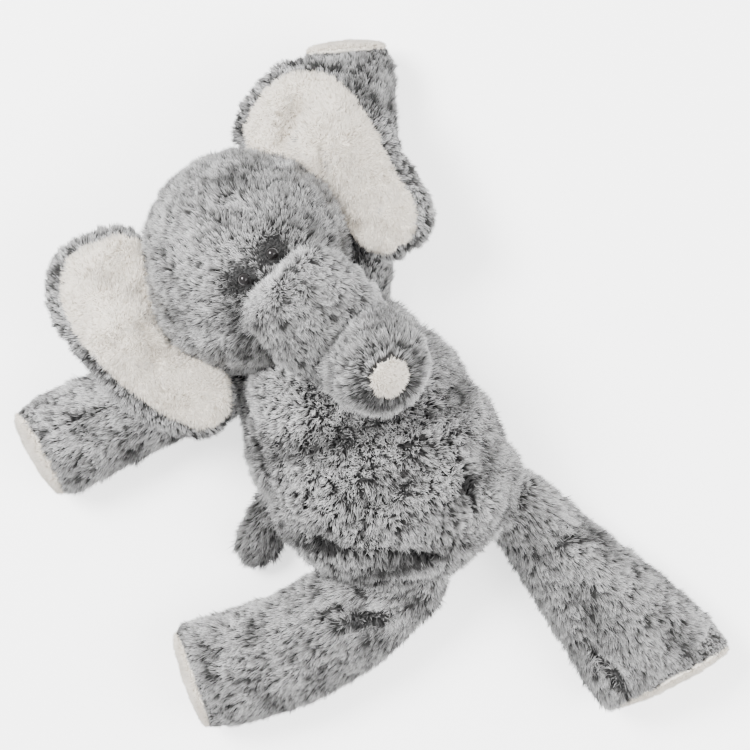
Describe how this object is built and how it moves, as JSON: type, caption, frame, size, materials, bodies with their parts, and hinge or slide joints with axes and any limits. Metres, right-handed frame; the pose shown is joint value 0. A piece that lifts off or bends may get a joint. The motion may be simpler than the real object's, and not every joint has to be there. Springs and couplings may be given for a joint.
{
  "type": "stuffed elephant",
  "caption": "Floppy plush elephant lying on its back: grey frosted fur, cream ear linings, pads and trunk tip, with limbs, ears, trunk and tail that swing.",
  "frame": {"origin": "on the flat of the toy's back, under the middle of the belly", "axes": "+Z out of the belly and the face, +Y from the belly to the head, +X to the toy's own left"},
  "size_m": [0.2554, 0.3412, 0.1264],
  "materials": {
    "grey_plush": "frosted long-pile plush, dark at the root and silver at the tip",
    "cream_plush": "short soft plush",
    "eye_black": "polished",
    "washer_plastic": "moulded",
    "stuffing_fibre": "loose polyester fibre"
  },
  "bodies": {
    "torso": {"belly_panel": "grey_plush", "back_panel_left": "grey_plush", "back_panel_right": "grey_plush", "torso_stuffing": "stuffing_fibre"},
    "head": {"head_face_gusset": "grey_plush", "head_left_panel": "grey_plush", "head_right_panel": "grey_plush", "head_back_gusset": "grey_plush", "head_stuffing": "stuffing_fibre", "left_eye": "eye_black", "right_eye": "eye_black", "left_eye_washer": "washer_plastic", "right_eye_washer": "washer_plastic"},
    "trunk_root": {"trunk_root_top": "grey_plush", "trunk_root_under": "grey_plush", "trunk_root_stuffing": "stuffing_fibre"},
    "trunk_end": {"trunk_end_top": "grey_plush", "trunk_end_under": "grey_plush", "trunk_end_stuffing": "stuffing_fibre", "trunk_tip_disc": "cream_plush"},
    "left_ear": {"left_ear_back": "grey_plush", "left_ear_lining": "cream_plush"},
    "right_ear": {"right_ear_back": "grey_plush", "right_ear_lining": "cream_plush"},
    "left_arm": {"left_arm_upper": "grey_plush", "left_arm_under": "grey_plush", "left_arm_stuffing": "stuffing_fibre", "left_arm_pad": "cream_plush"},
    "right_arm": {"right_arm_upper": "grey_plush", "right_arm_under": "grey_plush", "right_arm_stuffing": "stuffing_fibre", "right_arm_pad": "cream_plush"},
    "left_leg": {"left_leg_upper": "grey_plush", "left_leg_under": "grey_plush", "left_leg_stuffing": "stuffing_fibre", "left_leg_pad": "cream_plush"},
    "right_leg": {"right_leg_upper": "grey_plush", "right_leg_under": "grey_plush", "right_leg_stuffing": "stuffing_fibre", "right_leg_pad": "cream_plush"},
    "tail": {"tail_upper": "grey_plush", "tail_under": "grey_plush", "tail_stuffing": "stuffing_fibre"}
  },
  "joints": [
    {"name": "neck_swing", "type": "hinge", "parent": "torso", "child": "head", "pos_m": [-0.001, 0.066, 0.04], "axis": [0, 0, 1], "range_deg": [-3, 6]},
    {"name": "trunk_lift", "type": "hinge", "parent": "head", "child": "trunk_root", "pos_m": [0.006, 0.084, 0.0955], "axis": [-0.9718, -0.236, 0], "range_deg": [0, 75]},
    {"name": "trunk_curl", "type": "hinge", "parent": "trunk_root", "child": "trunk_end", "pos_m": [0.0145, 0.049, 0.0915], "axis": [-0.9718, -0.236, 0], "range_deg": [-20, 3]},
    {"name": "left_ear_flap", "type": "hinge", "parent": "head", "child": "left_ear", "pos_m": [0.0485, 0.124, 0.054], "axis": [0.2079, -0.9781, 0], "range_deg": [0, 80]},
    {"name": "right_ear_flap", "type": "hinge", "parent": "head", "child": "right_ear", "pos_m": [-0.0535, 0.116, 0.054], "axis": [0.0872, 0.9962, 0], "range_deg": [0, 80]},
    {"name": "left_arm_swing", "type": "hinge", "parent": "torso", "child": "left_arm", "pos_m": [0.0515, 0.069, 0.02], "axis": [0, 0, 1], "range_deg": [-100, 0]},
    {"name": "right_arm_swing", "type": "hinge", "parent": "torso", "child": "right_arm", "pos_m": [-0.053, 0.07, 0.02], "axis": [0, 0, 1], "range_deg": [-18, 40]},
    {"name": "left_leg_swing", "type": "hinge", "parent": "torso", "child": "left_leg", "pos_m": [0.038, -0.08, 0.02], "axis": [0, 0, 1], "range_deg": [-15, 60]},
    {"name": "right_leg_swing", "type": "hinge", "parent": "torso", "child": "right_leg", "pos_m": [-0.0565, -0.058, 0.02], "axis": [0, 0, 1], "range_deg": [0, 90]},
    {"name": "tail_wag", "type": "hinge", "parent": "torso", "child": "tail", "pos_m": [-0.065, 0.008, 0.008], "axis": [0, 0, 1], "range_deg": [-45, 5]}
  ]
}
